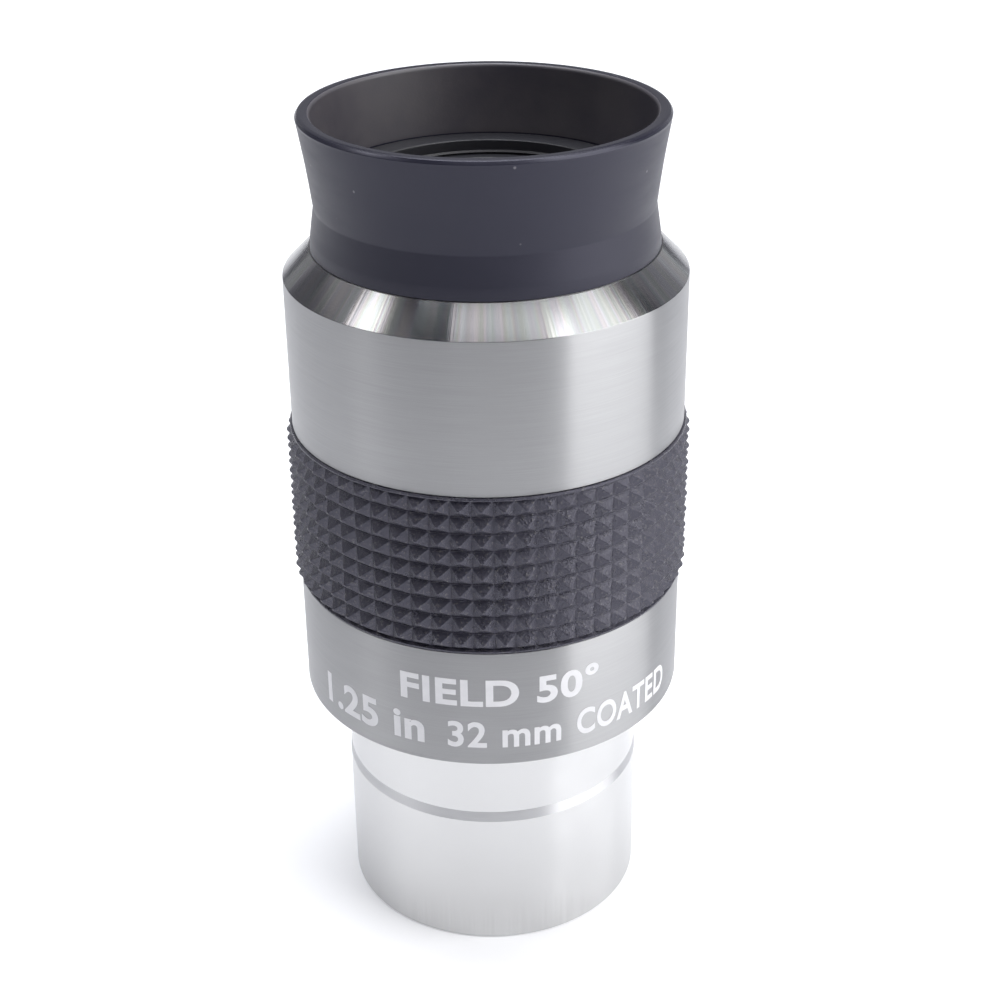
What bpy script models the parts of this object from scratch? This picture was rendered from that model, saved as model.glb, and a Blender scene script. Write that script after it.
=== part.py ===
"""A 1.25 inch telescope eyepiece: two cemented doublets in a turned metal body.

Z is the optical axis. The eyepiece stands on the open end of its chromed barrel
at z = 0, and the eye looks in from above, through a fold-down rubber eyecup.
Every piece is turned, so each one is an outline of (radius, height) points that is
spun about Z. An outline's heights start at the piece's own seat.
"""
import bpy
import bmesh
from math import cos, pi, radians, sin, sqrt
from mathutils import Vector

MM = 0.001

# ---- fits and mesh fineness ----
CLEARANCE = 0.3 * MM            # left between any two pieces that seat on each other
OUTER_SEGMENTS = 60             # steps round the outside pieces, one per grip column
INNER_SEGMENTS = 36             # steps round the pieces inside
ARC_STEPS = 5                   # steps along a lens surface from centre to edge
EDGE_BREAK = 0.3 * MM           # small chamfer on turned edges

# ---- barrel: the standard 1.25 inch push-fit ----
BARREL_DIAMETER = 31.75 * MM
BARREL_LENGTH = 25.7 * MM       # from the open end to the drawtube shoulder
BARREL_WALL = 1.625 * MM        # leaves the 28.5 mm bore of the filter thread
UNDERCUT_START = 15.5 * MM
UNDERCUT_TAPER = 1.2 * MM
UNDERCUT_DEPTH = 0.12 * MM
COUNTERBORE_DEPTH = 1.0 * MM    # how far the barrel's full width enters the housing
SPIGOT_STEP = 0.6 * MM          # the threaded spigot is this much smaller in radius
SPIGOT_LENGTH = 6.8 * MM

# ---- field stop, screwed into the top of the barrel ----
STOP_RING_WIDTH = 0.45 * MM
STOP_RING_THICKNESS = 1.2 * MM
STOP_DEPTH = 1.5 * MM           # below the top of the barrel spigot

# ---- lenses: a symmetrical pair of doublets, crowns facing each other ----
LENS_DIAMETER = 25.4 * MM
OUTER_CURVE = 90.0 * MM         # radius of the face that looks out of the stack
CEMENT_CURVE = 26.0 * MM        # radius of the cemented face
INNER_CURVE = 34.0 * MM         # radius of the face that looks at the other doublet
FLINT_THICKNESS = 1.8 * MM      # at the centre, where a flint is thinnest
CROWN_EDGE = 1.9 * MM           # at the edge, where a crown is thinnest
DOUBLET_GAP = 0.8 * MM          # between the two facing centres
EYE_LENS_RECESS = 3.0 * MM      # centre of the eye lens below the top of the cell

# ---- lens cell and the rings in it ----
CELL_WALL = 2.2 * MM
NECK_HEIGHT = 6.2 * MM          # the cell stands this far out of the housing
NECK_SHOULDER_HEIGHT = 1.3 * MM
NECK_SHOULDER_STEP = 1.0 * MM
NECK_GROOVE_DEPTH = 0.6 * MM
NECK_FLANGE_HEIGHT = 1.8 * MM
NECK_FLANGE_STEP = 0.4 * MM
RETAINING_RING_WIDTH = 1.1 * MM
RETAINING_RING_HEIGHT = 2.0 * MM
RING_SLOT_WIDTH = 1.4 * MM
RING_SLOT_DEPTH = 0.8 * MM
SPACER_WIDTH = 0.8 * MM
CELL_TAIL = 0.8 * MM            # cell tube left below the field-side ring

# ---- housings ----
JOINT_SPIGOT_WALL = 1.6 * MM    # male half of the thread that joins the housings
JOINT_SPIGOT_LENGTH = 5.4 * MM
SOCKET_WALL = 1.2 * MM          # female half, whose outside is the grip's seat
HOUSING_STEP = 1.4 * MM         # housing radius beyond the grip's seat
LOWER_HOUSING_HEIGHT = 13.1 * MM
UPPER_HOUSING_HEIGHT = 15.54 * MM
BEVEL_HEIGHT = 2.7 * MM

# ---- rubber grip ----
GRIP_HEIGHT = 16.96 * MM
GRIP_ROWS = 9
GRIP_LIP_HEIGHT = 0.32 * MM
GRIP_LIP_RISE = 0.45 * MM       # lip radius beyond the valleys
GRIP_BASE = 0.85 * MM           # rubber under the valleys
PYRAMID_HEIGHT = 0.9 * MM

# ---- rubber eyecup ----
COLLAR_FOOT_WALL = 0.8 * MM
COLLAR_TOP_WALL = 0.85 * MM
COLLAR_HEIGHT = 5.9 * MM        # from the housing's top to the fold line
SKIRT_HEIGHT = 7.3 * MM         # from the fold line to the rim
SKIRT_FLARE = 1.1 * MM          # how much wider the rim is than the fold line
RIM_WALL = 1.35 * MM
RIM_STEPS = 4

# ---- radii that follow ----
BARREL_RADIUS = BARREL_DIAMETER / 2
BARREL_BORE = BARREL_RADIUS - BARREL_WALL
UNDERCUT_RADIUS = BARREL_RADIUS - UNDERCUT_DEPTH
SPIGOT_RADIUS = UNDERCUT_RADIUS - SPIGOT_STEP
LENS_RADIUS = LENS_DIAMETER / 2
CELL_BORE = LENS_RADIUS + CLEARANCE
CELL_RADIUS = CELL_BORE + CELL_WALL
NECK_SHOULDER_RADIUS = CELL_RADIUS + NECK_SHOULDER_STEP
NECK_GROOVE_RADIUS = CELL_RADIUS - NECK_GROOVE_DEPTH
NECK_FLANGE_RADIUS = CELL_RADIUS + NECK_FLANGE_STEP
HOUSING_BORE = CELL_RADIUS + CLEARANCE
JOINT_SPIGOT_RADIUS = HOUSING_BORE + JOINT_SPIGOT_WALL
SOCKET_RADIUS = JOINT_SPIGOT_RADIUS + CLEARANCE
GRIP_SEAT_RADIUS = SOCKET_RADIUS + SOCKET_WALL
HOUSING_RADIUS = GRIP_SEAT_RADIUS + HOUSING_STEP
GRIP_BORE = GRIP_SEAT_RADIUS + CLEARANCE
GRIP_VALLEY_RADIUS = GRIP_BORE + GRIP_BASE
COLLAR_FOOT_RADIUS = NECK_SHOULDER_RADIUS + CLEARANCE + COLLAR_FOOT_WALL
FOLD_BORE = NECK_FLANGE_RADIUS + CLEARANCE
FOLD_RADIUS = FOLD_BORE + COLLAR_TOP_WALL
RIM_RADIUS = FOLD_RADIUS + SKIRT_FLARE

# ---- heights that follow ----
GRIP_Z = BARREL_LENGTH + LOWER_HOUSING_HEIGHT
HOUSING_JOINT_Z = GRIP_Z + GRIP_HEIGHT / 2
UPPER_HOUSING_Z = GRIP_Z + GRIP_HEIGHT
BEVEL_Z = UPPER_HOUSING_Z + UPPER_HOUSING_HEIGHT
HOUSING_TOP_Z = BEVEL_Z + BEVEL_HEIGHT
FOLD_Z = HOUSING_TOP_Z + COLLAR_HEIGHT
SPIGOT_TOP_Z = BARREL_LENGTH + COUNTERBORE_DEPTH + SPIGOT_LENGTH
CELL_TOP_Z = HOUSING_TOP_Z + NECK_HEIGHT
EYE_LENS_Z = CELL_TOP_Z - EYE_LENS_RECESS


def sag(curve, radius):
    """How far a spherical face falls away from its centre at this radius."""
    return curve - sqrt(curve * curve - radius * radius)


CROWN_THICKNESS = CROWN_EDGE + sag(CEMENT_CURVE, LENS_RADIUS) + sag(INNER_CURVE, LENS_RADIUS)
DOUBLET_DEPTH = FLINT_THICKNESS + CLEARANCE + CROWN_THICKNESS
STACK_CENTRE_Z = EYE_LENS_Z - DOUBLET_DEPTH - DOUBLET_GAP / 2


def clear_scene():
    for thing in list(bpy.data.objects):
        bpy.data.objects.remove(thing, do_unlink=True)


def material(name, colour, roughness, metallic=0.0, transmission=0.0):
    """A Principled material; colour is linear red, green and blue."""
    made = bpy.data.materials.new(name)
    made.use_nodes = True
    shader = made.node_tree.nodes["Principled BSDF"]
    shader.inputs["Base Color"].default_value = (*colour, 1.0)
    shader.inputs["Roughness"].default_value = roughness
    shader.inputs["Metallic"].default_value = metallic
    shader.inputs["Transmission Weight"].default_value = transmission
    made.diffuse_color = (*colour, 1.0)
    return made


def brushed_steel(name):
    return material(name, (0.56, 0.56, 0.58), 0.32, metallic=1.0)


def chrome(name):
    return material(name, (0.78, 0.78, 0.80), 0.08, metallic=1.0)


def black_anodised(name):
    return material(name, (0.018, 0.018, 0.022), 0.42, metallic=0.6)


def black_rubber(name):
    return material(name, (0.045, 0.043, 0.056), 0.62)


def glass(name):
    return material(name, (0.93, 0.97, 1.0), 0.02, transmission=1.0)


def spin_outline(shape, outline, segments):
    """Turn a closed outline about Z. A point on the axis becomes a single vertex."""
    rings = []
    for radius, height in outline:
        if radius == 0:
            rings.append([shape.verts.new((0, 0, height))])
            continue
        ring = []
        for step in range(segments):
            angle = 2 * pi * step / segments
            ring.append(shape.verts.new((radius * cos(angle), radius * sin(angle), height)))
        rings.append(ring)
    bands = []
    for index, ring in enumerate(rings):
        bands.append(join_rings(shape, ring, rings[(index + 1) % len(rings)], segments))
    bmesh.ops.recalc_face_normals(shape, faces=shape.faces)
    return bands


def join_rings(shape, first, second, segments):
    """Faces between two neighbouring rings, either of which may be a point."""
    faces = []
    if len(first) == 1 and len(second) == 1:
        return faces
    for step in range(segments):
        after = (step + 1) % segments
        corners = [first[step % len(first)], second[step % len(second)]]
        if len(second) > 1:
            corners.append(second[after])
        if len(first) > 1:
            corners.append(first[after])
        faces.append(shape.faces.new(corners))
    return faces


def add_piece(name, shape, finish, seat_z):
    mesh = bpy.data.meshes.new(name)
    shape.to_mesh(mesh)
    shape.free()
    mesh.shade_smooth()
    mesh.set_sharp_from_angle(angle=radians(28))
    mesh.materials.append(finish)
    piece = bpy.data.objects.new(name, mesh)
    piece.location = (0, 0, seat_z)
    bpy.context.collection.objects.link(piece)
    return piece


def turned_piece(name, outline, finish, seat_z, segments=OUTER_SEGMENTS):
    shape = bmesh.new()
    spin_outline(shape, outline, segments)
    return add_piece(name, shape, finish, seat_z)


def face_points(curve, centre_z, falls):
    """A lens face from centre to edge. falls is 1 where the edge lies below the centre."""
    points = []
    for step in range(ARC_STEPS + 1):
        radius = LENS_RADIUS * step / ARC_STEPS
        points.append((radius, centre_z - falls * sag(curve, radius)))
    return points


def lens(name, upper_face, lower_face, seat_z):
    outline = upper_face + list(reversed(lower_face))
    return turned_piece(name, outline, glass(name), seat_z, INNER_SEGMENTS)


def nosepiece_barrel():
    taper_end = UNDERCUT_START + UNDERCUT_TAPER
    full_width_end = BARREL_LENGTH + COUNTERBORE_DEPTH
    outline = [
        (BARREL_BORE + EDGE_BREAK, 0),
        (BARREL_RADIUS - EDGE_BREAK, 0),
        (BARREL_RADIUS, EDGE_BREAK),
        (BARREL_RADIUS, UNDERCUT_START),
        (UNDERCUT_RADIUS, taper_end),
        (UNDERCUT_RADIUS, full_width_end),
        (SPIGOT_RADIUS, full_width_end),
        (SPIGOT_RADIUS, SPIGOT_TOP_Z),
        (BARREL_BORE, SPIGOT_TOP_Z),
        (BARREL_BORE, EDGE_BREAK),
    ]
    return turned_piece("nosepiece_barrel", outline, chrome("barrel_chrome"), 0)


def field_stop_ring():
    outer = BARREL_BORE - CLEARANCE
    inner = outer - STOP_RING_WIDTH
    outline = [
        (inner, 0),
        (outer, 0),
        (outer, STOP_RING_THICKNESS),
        (inner, STOP_RING_THICKNESS),
    ]
    seat_z = SPIGOT_TOP_Z - STOP_DEPTH - STOP_RING_THICKNESS
    return turned_piece("field_stop_ring", outline, black_anodised("stop_black"), seat_z)


def lower_housing():
    """The lower shell, the lower half of the grip's seat and the male joint thread."""
    counterbore = UNDERCUT_RADIUS + CLEARANCE
    thread_bore = SPIGOT_RADIUS + CLEARANCE
    counterbore_top = COUNTERBORE_DEPTH + CLEARANCE
    thread_top = SPIGOT_TOP_Z + CLEARANCE - BARREL_LENGTH
    joint = HOUSING_JOINT_Z - CLEARANCE - BARREL_LENGTH
    outline = [
        (counterbore, 0),
        (HOUSING_RADIUS - EDGE_BREAK, 0),
        (HOUSING_RADIUS, EDGE_BREAK),
        (HOUSING_RADIUS, LOWER_HOUSING_HEIGHT),
        (GRIP_SEAT_RADIUS, LOWER_HOUSING_HEIGHT),
        (GRIP_SEAT_RADIUS, joint),
        (JOINT_SPIGOT_RADIUS, joint),
        (JOINT_SPIGOT_RADIUS, joint + JOINT_SPIGOT_LENGTH),
        (HOUSING_BORE, joint + JOINT_SPIGOT_LENGTH),
        (HOUSING_BORE, thread_top),
        (thread_bore, thread_top),
        (thread_bore, counterbore_top),
        (counterbore, counterbore_top),
    ]
    return turned_piece("lower_housing", outline, brushed_steel("lower_steel"), BARREL_LENGTH)


def upper_housing():
    """The upper shell with its bevel, the upper half of the seat and the female thread."""
    shell = UPPER_HOUSING_Z - HOUSING_JOINT_Z
    bevel = BEVEL_Z - HOUSING_JOINT_Z
    top = HOUSING_TOP_Z - HOUSING_JOINT_Z
    outline = [
        (SOCKET_RADIUS, 0),
        (GRIP_SEAT_RADIUS, 0),
        (GRIP_SEAT_RADIUS, shell),
        (HOUSING_RADIUS, shell),
        (HOUSING_RADIUS, bevel),
        (COLLAR_FOOT_RADIUS, top),
        (HOUSING_BORE, top),
        (HOUSING_BORE, JOINT_SPIGOT_LENGTH),
        (SOCKET_RADIUS, JOINT_SPIGOT_LENGTH),
    ]
    return turned_piece("upper_housing", outline, brushed_steel("upper_steel"), HOUSING_JOINT_Z)


def grip_band():
    """The rubber band. Each square of its outside is poked out into a pyramid."""
    lip = GRIP_VALLEY_RADIUS + GRIP_LIP_RISE
    height = GRIP_HEIGHT - 2 * CLEARANCE
    first_row = GRIP_LIP_HEIGHT
    last_row = height - GRIP_LIP_HEIGHT
    outline = [(GRIP_BORE, 0), (lip, 0), (lip, first_row)]
    for row in range(GRIP_ROWS + 1):
        row_z = first_row + (last_row - first_row) * row / GRIP_ROWS
        outline.append((GRIP_VALLEY_RADIUS, row_z))
    outline += [(lip, last_row), (lip, height), (GRIP_BORE, height)]
    shape = bmesh.new()
    bands = spin_outline(shape, outline, OUTER_SEGMENTS)
    squares = []
    for band in bands[3:3 + GRIP_ROWS]:
        squares += band
    bmesh.ops.poke(shape, faces=squares, offset=PYRAMID_HEIGHT)
    return add_piece("grip_band", shape, black_rubber("grip_rubber"), GRIP_Z + CLEARANCE)


def lens_cell():
    """The black tube that holds the lenses. The eyecup grips the groove in its neck."""
    field_ring_z = field_ring_seat() - CELL_TAIL
    top = CELL_TOP_Z - field_ring_z
    housing_top = HOUSING_TOP_Z + CLEARANCE - field_ring_z
    groove = housing_top + NECK_SHOULDER_HEIGHT
    flange = top - NECK_FLANGE_HEIGHT
    outline = [
        (CELL_BORE, 0),
        (CELL_RADIUS - EDGE_BREAK, 0),
        (CELL_RADIUS, EDGE_BREAK),
        (CELL_RADIUS, housing_top),
        (NECK_SHOULDER_RADIUS, housing_top),
        (NECK_SHOULDER_RADIUS, groove),
        (NECK_GROOVE_RADIUS, groove),
        (NECK_GROOVE_RADIUS, flange),
        (NECK_FLANGE_RADIUS, flange),
        (NECK_FLANGE_RADIUS, top),
        (CELL_BORE + EDGE_BREAK, top),
        (CELL_BORE, top - EDGE_BREAK),
    ]
    return turned_piece("lens_cell", outline, black_anodised("cell_black"), field_ring_z)


def eye_doublet():
    """Flint above, crown below, with the cement's thickness between them."""
    cement_z = -FLINT_THICKNESS
    crown_z = cement_z - CLEARANCE
    lens("eye_lens_flint", face_points(OUTER_CURVE, 0, 1),
         face_points(CEMENT_CURVE, cement_z, 1), EYE_LENS_Z)
    lens("eye_lens_crown", face_points(CEMENT_CURVE, crown_z, 1),
         face_points(INNER_CURVE, crown_z - CROWN_THICKNESS, -1), EYE_LENS_Z)


def field_doublet():
    """The eye doublet turned over: crown above, flint below."""
    cement_z = -CROWN_THICKNESS
    flint_z = cement_z - CLEARANCE
    seat_z = STACK_CENTRE_Z - DOUBLET_GAP / 2
    lens("field_lens_crown", face_points(INNER_CURVE, 0, 1),
         face_points(CEMENT_CURVE, cement_z, -1), seat_z)
    lens("field_lens_flint", face_points(CEMENT_CURVE, flint_z, -1),
         face_points(OUTER_CURVE, flint_z - FLINT_THICKNESS, -1), seat_z)


def spacer_ring():
    """Keeps the two crowns apart. Its inner edges rest on their curved faces."""
    inner = LENS_RADIUS - SPACER_WIDTH
    half = DOUBLET_GAP / 2 + sag(INNER_CURVE, inner) - CLEARANCE
    outline = [(inner, 0), (LENS_RADIUS, 0), (LENS_RADIUS, 2 * half), (inner, 2 * half)]
    return turned_piece("spacer_ring", outline, black_anodised("spacer_black"),
                        STACK_CENTRE_Z - half, INNER_SEGMENTS)


def retaining_ring(name, seat_z, slot_z):
    """A threaded ring with two spanner slots in the face at slot_z."""
    inner = LENS_RADIUS - RETAINING_RING_WIDTH
    outline = [
        (inner, 0),
        (LENS_RADIUS, 0),
        (LENS_RADIUS, RETAINING_RING_HEIGHT),
        (inner, RETAINING_RING_HEIGHT),
    ]
    ring = turned_piece(name, outline, black_anodised(name + "_black"), seat_z, INNER_SEGMENTS)
    cutter = slot_cutter(name + "_slot_cutter", seat_z + slot_z)
    cut = ring.modifiers.new("spanner_slots", "BOOLEAN")
    cut.operation = "DIFFERENCE"
    cut.solver = "EXACT"
    cut.object = cutter
    return ring


def slot_cutter(name, centre_z):
    """A bar right across the ring, which cuts both slots at once."""
    shape = bmesh.new()
    bmesh.ops.create_cube(shape, size=1)
    size = Vector((2 * LENS_DIAMETER, RING_SLOT_WIDTH, 2 * RING_SLOT_DEPTH))
    bmesh.ops.scale(shape, vec=size, verts=shape.verts)
    mesh = bpy.data.meshes.new(name)
    shape.to_mesh(mesh)
    shape.free()
    cutter = bpy.data.objects.new(name, mesh)
    cutter.location = (0, 0, centre_z)
    cutter.hide_render = True
    cutter.display_type = "WIRE"
    bpy.context.collection.objects.link(cutter)
    return cutter


def ring_contact_drop():
    """How far below a lens centre a retaining ring's inner edge meets the outer face."""
    return sag(OUTER_CURVE, LENS_RADIUS - RETAINING_RING_WIDTH) - CLEARANCE


def eye_ring_seat():
    return EYE_LENS_Z - ring_contact_drop()


def field_ring_seat():
    stack_bottom = 2 * STACK_CENTRE_Z - EYE_LENS_Z
    return stack_bottom + ring_contact_drop() - RETAINING_RING_HEIGHT


def eyecup_collar():
    """The thick foot of the eyecup, with the bead that snaps into the cell's groove."""
    foot_bore = NECK_SHOULDER_RADIUS + CLEARANCE
    bead_bore = NECK_GROOVE_RADIUS + CLEARANCE
    bead_start = NECK_SHOULDER_HEIGHT + CLEARANCE
    bead_end = NECK_HEIGHT - NECK_FLANGE_HEIGHT - 2 * CLEARANCE
    top = COLLAR_HEIGHT - 1.5 * CLEARANCE
    waist = (COLLAR_FOOT_RADIUS + FOLD_RADIUS) / 2 - EDGE_BREAK / 2
    outline = [
        (foot_bore, 0),
        (COLLAR_FOOT_RADIUS, 0),
        (waist, top / 2),
        (FOLD_RADIUS, top),
        (FOLD_BORE, top),
        (FOLD_BORE, bead_end),
        (bead_bore, bead_end),
        (bead_bore, bead_start),
        (foot_bore, bead_start),
    ]
    return turned_piece("eyecup_collar", outline, black_rubber("collar_rubber"),
                        HOUSING_TOP_Z + CLEARANCE)


def eyecup_skirt():
    """The thin flared wall above the fold line, which ends in a rounded rim."""
    base_z = CLEARANCE / 2
    rim_radius = RIM_WALL / 2
    rim_centre = RIM_RADIUS - rim_radius
    rim_z = SKIRT_HEIGHT - rim_radius
    outline = [(FOLD_BORE, base_z), (FOLD_RADIUS, base_z)]
    for step in range(RIM_STEPS + 1):
        angle = pi * step / RIM_STEPS
        outline.append((rim_centre + rim_radius * cos(angle), rim_z + rim_radius * sin(angle)))
    return turned_piece("eyecup_skirt", outline, black_rubber("skirt_rubber"), FOLD_Z)


def build():
    clear_scene()
    nosepiece_barrel()
    field_stop_ring()
    lower_housing()
    upper_housing()
    grip_band()
    lens_cell()
    eye_doublet()
    field_doublet()
    spacer_ring()
    retaining_ring("eye_retaining_ring", eye_ring_seat(), RETAINING_RING_HEIGHT)
    retaining_ring("field_retaining_ring", field_ring_seat(), 0)
    collar = eyecup_collar()
    skirt = eyecup_skirt()
    bpy.context.view_layer.update()
    skirt.parent = collar
    skirt.matrix_parent_inverse = collar.matrix_world.inverted()


build()
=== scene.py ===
# %% [markdown]
# # A telescope eyepiece, finished on its working model
#
# The working model already fixes every size, fit and joint. This lesson gives each
# piece the surface that a machinist, a plater or a rubber moulder would leave on it.
# Almost every piece of an eyepiece is turned on a lathe, so one Geometry Nodes tree
# does most of the shaping: it spins an outline about the optical axis, which is Z.

# %% Load the working model
from math import atan2, cos, pi, radians, sin, sqrt, tan

import bmesh
import bpy
from mathutils import Matrix, Vector


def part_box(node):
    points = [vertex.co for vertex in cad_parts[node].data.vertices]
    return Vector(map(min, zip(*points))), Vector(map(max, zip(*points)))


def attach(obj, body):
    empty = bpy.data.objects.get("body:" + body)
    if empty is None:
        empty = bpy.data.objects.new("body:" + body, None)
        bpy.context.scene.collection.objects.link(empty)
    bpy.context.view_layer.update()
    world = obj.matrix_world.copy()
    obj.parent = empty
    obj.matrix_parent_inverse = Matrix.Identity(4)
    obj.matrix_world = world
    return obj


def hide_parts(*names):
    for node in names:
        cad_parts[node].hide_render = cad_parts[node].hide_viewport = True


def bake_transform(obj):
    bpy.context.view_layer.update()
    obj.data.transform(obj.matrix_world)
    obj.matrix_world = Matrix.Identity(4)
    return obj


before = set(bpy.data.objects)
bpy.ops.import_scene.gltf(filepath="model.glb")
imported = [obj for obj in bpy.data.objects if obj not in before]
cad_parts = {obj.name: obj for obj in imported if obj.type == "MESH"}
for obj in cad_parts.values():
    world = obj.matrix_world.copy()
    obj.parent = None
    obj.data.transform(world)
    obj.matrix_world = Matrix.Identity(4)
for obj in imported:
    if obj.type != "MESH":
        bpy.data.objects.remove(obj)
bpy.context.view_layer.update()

mm = 0.001

# %% [markdown]
# ## Sizes
#
# A box round each node of the model gives its outer radius and where it starts and
# ends along Z. Turned parts need little more than that. The gaps that the model keeps
# between parts are closed up here to the hairlines that real parts show.

# %% Read radii and heights from the model
def node_size(node):
    """Outer radius, lowest and highest Z of a node."""
    low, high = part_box(node)
    return (high.x - low.x) / 2, low.z, high.z


barrel_radius, barrel_z, barrel_top = node_size("nosepiece_barrel")
housing_radius, shoulder_z, lower_top = node_size("lower_housing")
_, joint_z, housing_top = node_size("upper_housing")
_, grip_low, grip_high = node_size("grip_band")
shoulder_radius, cell_low, cell_top = node_size("lens_cell")
collar_radius, _, _ = node_size("eyecup_collar")
rim_radius, skirt_z, rim_top = node_size("eyecup_skirt")
lens_radius, _, _ = node_size("eye_lens_flint")

fit_gap = 0.3 * mm
hairline = 0.04 * mm
grip_z = grip_low - fit_gap
grip_top = grip_high + fit_gap
heights = {"shoulder": shoulder_z, "grip": grip_z, "grip top": grip_top,
           "housing top": housing_top, "rim": rim_top}
print("heights, mm:", {label: round(z / mm, 2) for label, z in heights.items()})

# %% [markdown]
# ## A small kit for node trees
#
# Finishes and shapes are both made of nodes, and they share these helpers. `fill` sets
# a node's inputs: an input that is given a socket is linked, and any other value is
# typed in. `wire` adds a node and fills it. That keeps a material as short as the
# recipe it stands for.

# %% Helpers that add nodes
def fill(tree, node, inputs):
    """inputs maps an input's name or number to a value or to a socket."""
    for key, value in dict(inputs).items():
        if isinstance(value, bpy.types.NodeSocket):
            tree.links.new(value, node.inputs[key])
        else:
            node.inputs[key].default_value = value
    return node


def wire(tree, kind, inputs=(), **settings):
    """Add a node, choose its settings and fill its inputs."""
    node = tree.nodes.new(kind)
    for key, value in settings.items():
        setattr(node, key, value)
    return fill(tree, node, inputs)


def calculate(tree, operation, *values):
    """A Math node's result."""
    return wire(tree, "ShaderNodeMath", enumerate(values), operation=operation).outputs[0]


def combine(tree, x, y, z):
    return wire(tree, "ShaderNodeCombineXYZ", {0: x, 1: y, 2: z}).outputs[0]


def separate(tree, vector):
    return wire(tree, "ShaderNodeSeparateXYZ", {0: vector}).outputs


def axis_distance(tree, axes):
    """How far a place lies from the optical axis."""
    square = calculate(tree, "ADD", calculate(tree, "MULTIPLY", axes["X"], axes["X"]),
                       calculate(tree, "MULTIPLY", axes["Y"], axes["Y"]))
    return calculate(tree, "SQRT", square)


# %% [markdown]
# A finish also needs a few recipes of its own: stretch a value on to a new range, make
# noise, mix two colours, and turn a small height into a bump. Every pattern reads
# Object coordinates, so it stays on the piece when the piece moves.

# %% Helpers for finishes
def new_finish(name):
    finish = bpy.data.materials.new(name)
    finish.use_nodes = True
    return finish, finish.node_tree, finish.node_tree.nodes["Principled BSDF"]


def object_place(tree):
    """Where a point lies on the piece, in metres."""
    return wire(tree, "ShaderNodeTexCoord").outputs["Object"]


def spread(tree, value, low, high, start=0.0, end=1.0):
    """Map a value that runs from start to end onto low to high."""
    inputs = {"Value": value, "From Min": start, "From Max": end, "To Min": low, "To Max": high}
    return wire(tree, "ShaderNodeMapRange", inputs).outputs["Result"]


def noise(tree, vector, scale, detail=2.0, roughness=0.5):
    inputs = {"Vector": vector, "Scale": scale, "Detail": detail, "Roughness": roughness}
    return wire(tree, "ShaderNodeTexNoise", inputs).outputs["Fac"]


def tint(tree, fac, dark, light):
    """A colour between two others. Each is (red, green, blue) or a socket."""
    inputs = {"Factor": fac}
    for key, colour in (("A", dark), ("B", light)):
        is_socket = isinstance(colour, bpy.types.NodeSocket)
        inputs[key] = colour if is_socket else (*colour, 1.0)
    return wire(tree, "ShaderNodeMix", inputs, data_type="RGBA").outputs["Result"]


def bump(tree, height, strength, distance):
    """A normal that follows detail too fine to model."""
    inputs = {"Height": height, "Strength": strength, "Distance": distance}
    return wire(tree, "ShaderNodeBump", inputs).outputs["Normal"]


# %% [markdown]
# ## Coordinates that follow the lathe
#
# A tool or a brush leaves marks that run round the axis. So the marks are drawn in
# "lathe coordinates": the direction round the axis, and the height plus the radius,
# which grows along cylinders and flat ends alike. On a 45 degree bevel that sum stays
# the same, so there each mark becomes one straight streak across the bevel.

# %% Lathe coordinates and the tangent of a turned face
def lathe_coordinates(tree, round_scale, along_scale):
    """A vector of the angle's cosine and sine, and the distance along the outline."""
    axes = separate(tree, object_place(tree))
    radius = calculate(tree, "MAXIMUM", axis_distance(tree, axes), 1e-5)
    along = calculate(tree, "ADD", axes["Z"], radius)
    cosine = calculate(tree, "DIVIDE", axes["X"], radius)
    sine = calculate(tree, "DIVIDE", axes["Y"], radius)
    return combine(tree, calculate(tree, "MULTIPLY", cosine, round_scale),
                   calculate(tree, "MULTIPLY", sine, round_scale),
                   calculate(tree, "MULTIPLY", along, along_scale))


def outline_tangent(tree):
    """Points along the outline, across the turning marks, on any outward face."""
    axes = separate(tree, object_place(tree))
    flat = combine(tree, axes["X"], axes["Y"], 0.0)
    outward = wire(tree, "ShaderNodeVectorMath", {0: flat}, operation="NORMALIZE")
    lean = wire(tree, "ShaderNodeVectorMath", {0: outward.outputs[0], "Scale": -0.5},
                operation="SCALE")
    upright = wire(tree, "ShaderNodeVectorMath", {0: lean.outputs[0], 1: (0, 0, 1)},
                   operation="ADD")
    return upright.outputs[0]


# %% [markdown]
# ## Brushed steel
#
# The two housing shells are spun against an abrasive, which leaves fine scratches
# round them. Across the scratches the surface is rough, and along them it is nearly a
# mirror, so a lamp's reflection smears up and down but keeps sharp sides. The
# Anisotropic setting does this, and a tangent tells it which way is across.

# %% Brushed steel for the housing shells and the step on the barrel
scratch_pitch = 0.07 * mm


def brushed_steel(name, dark, light, roughness):
    finish, tree, shader = new_finish(name)
    lines = noise(tree, lathe_coordinates(tree, 3.0, 1 / scratch_pitch), 1.0, 2.0, 0.6)
    bands = noise(tree, lathe_coordinates(tree, 0.8, 0.1 / scratch_pitch), 1.0, 2.0)
    mixed = calculate(tree, "ADD", calculate(tree, "MULTIPLY", lines, 0.85),
                      calculate(tree, "MULTIPLY", bands, 0.15))
    even = spread(tree, mixed, 0.0, 1.0, 0.2, 0.8)
    fill(tree, shader, {
        "Base Color": tint(tree, even, dark, light),
        "Roughness": spread(tree, even, roughness + 0.03, roughness - 0.03),
        "Normal": bump(tree, lines, 0.12, 0.01 * mm),
        "Tangent": outline_tangent(tree), "Metallic": 1.0, "Anisotropic": 1.0})
    return finish


housing_steel = brushed_steel("housing_brushed_steel", (0.350, 0.351, 0.358),
                              (0.400, 0.401, 0.406), 0.37)
step_steel = brushed_steel("step_brushed_steel", (0.58, 0.58, 0.59), (0.64, 0.64, 0.65), 0.38)
print("made", housing_steel.name, step_steel.name)

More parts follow.
